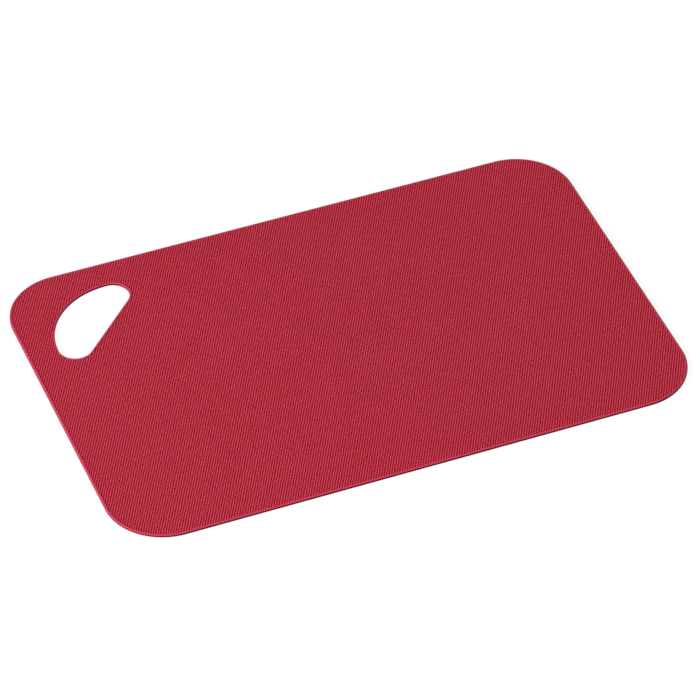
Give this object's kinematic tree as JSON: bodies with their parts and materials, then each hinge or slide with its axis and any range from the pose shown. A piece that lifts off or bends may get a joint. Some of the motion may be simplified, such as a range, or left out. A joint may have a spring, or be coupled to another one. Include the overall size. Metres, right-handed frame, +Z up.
{
  "type": "flexible cutting mat",
  "caption": "Thin flexible plastic cutting mat: a rounded rectangle with a fine grained top, a smooth rim and a grip hole through a corner.",
  "frame": {"origin": "middle of the mat's underside, at the centre of its length and width", "axes": "+X along the long side, +Y away from the cook, towards the long edge beside the grip hole, +Z up out of the cutting face; the grip hole is in the -X, +Y corner"},
  "size_m": [0.38, 0.25, 0.0017],
  "materials": {
    "red_plastic": "matt red moulded plastic, finely grained on top"
  },
  "bodies": {
    "root": {"mat_sheet": "red_plastic"}
  },
  "joints": []
}
